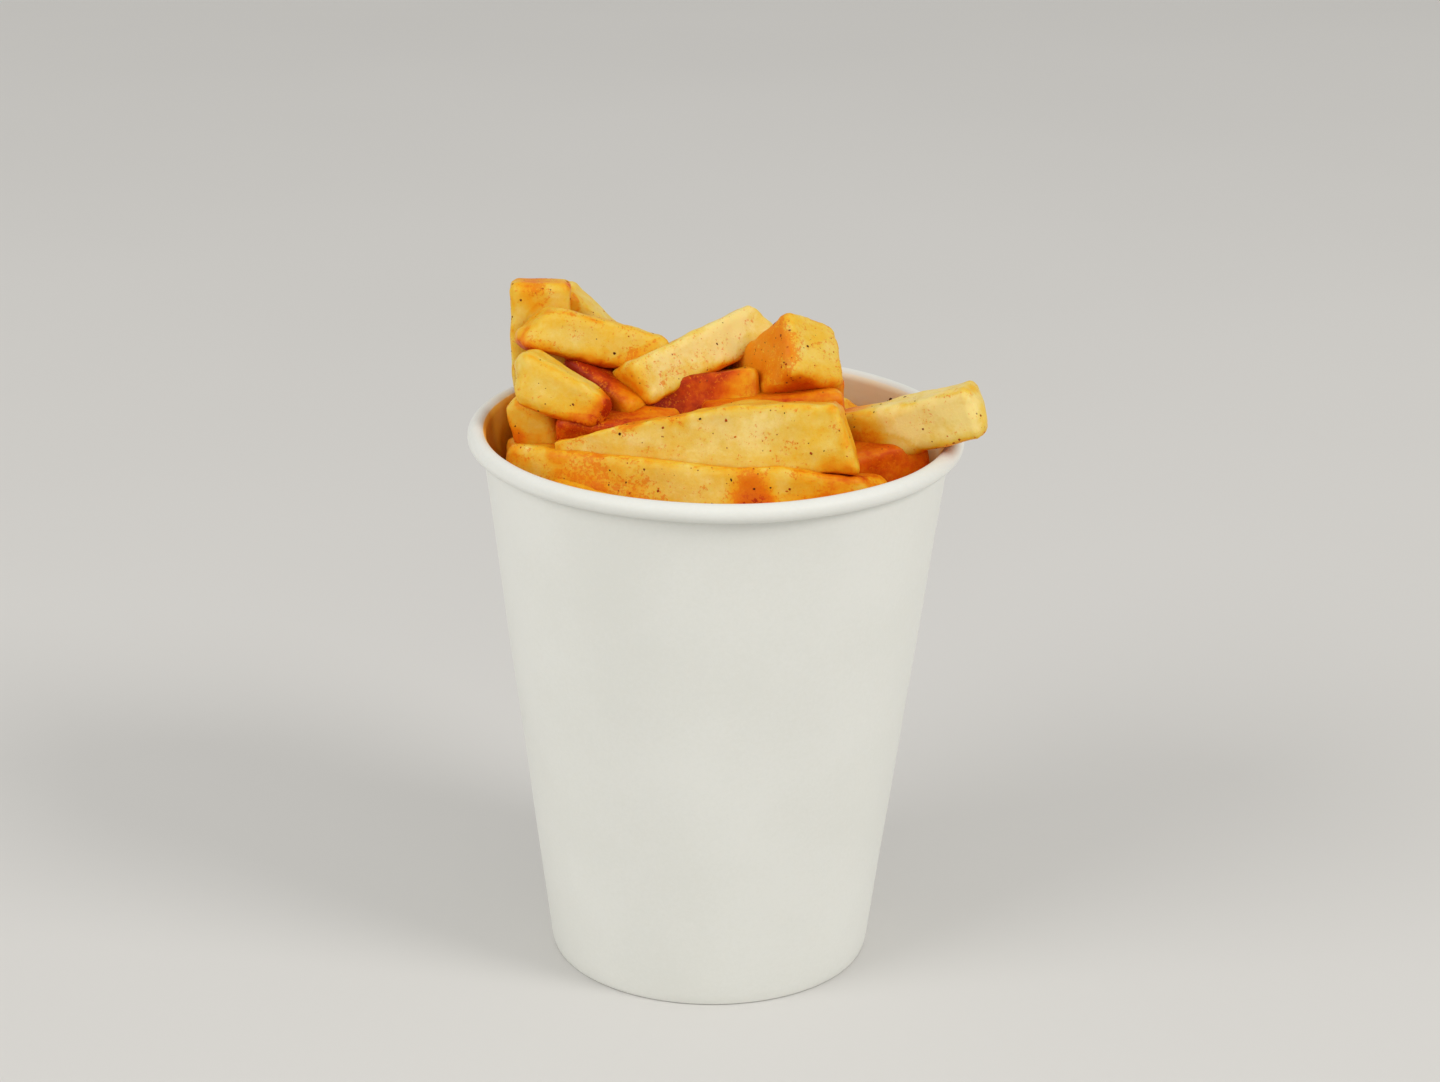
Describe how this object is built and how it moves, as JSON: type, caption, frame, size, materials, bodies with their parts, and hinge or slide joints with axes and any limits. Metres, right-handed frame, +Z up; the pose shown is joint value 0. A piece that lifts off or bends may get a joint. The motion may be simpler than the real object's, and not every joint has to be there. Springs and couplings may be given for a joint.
{
  "type": "thick-cut chips (french fries) heaped in a plain paper cup",
  "caption": "Thick-cut seasoned chips heaped above the rim of a plain white tapered paper cup with a rolled rim.",
  "frame": {"origin": "middle of the box round the whole part, on the surface that the cup stands on", "axes": "+Z up along the cup, -Y towards the front of the heap, +X to the right, where one chip lies over the rim"},
  "size_m": [0.0835, 0.08, 0.1104],
  "materials": {
    "cup_paper": "smooth white coated paper",
    "fried_potato": "fried potato, cream to orange, with a thin coat of oil and ground spice"
  },
  "bodies": {
    "root": {"cup_sidewall": "cup_paper", "cup_base": "cup_paper", "fries": "fried_potato"}
  },
  "joints": []
}
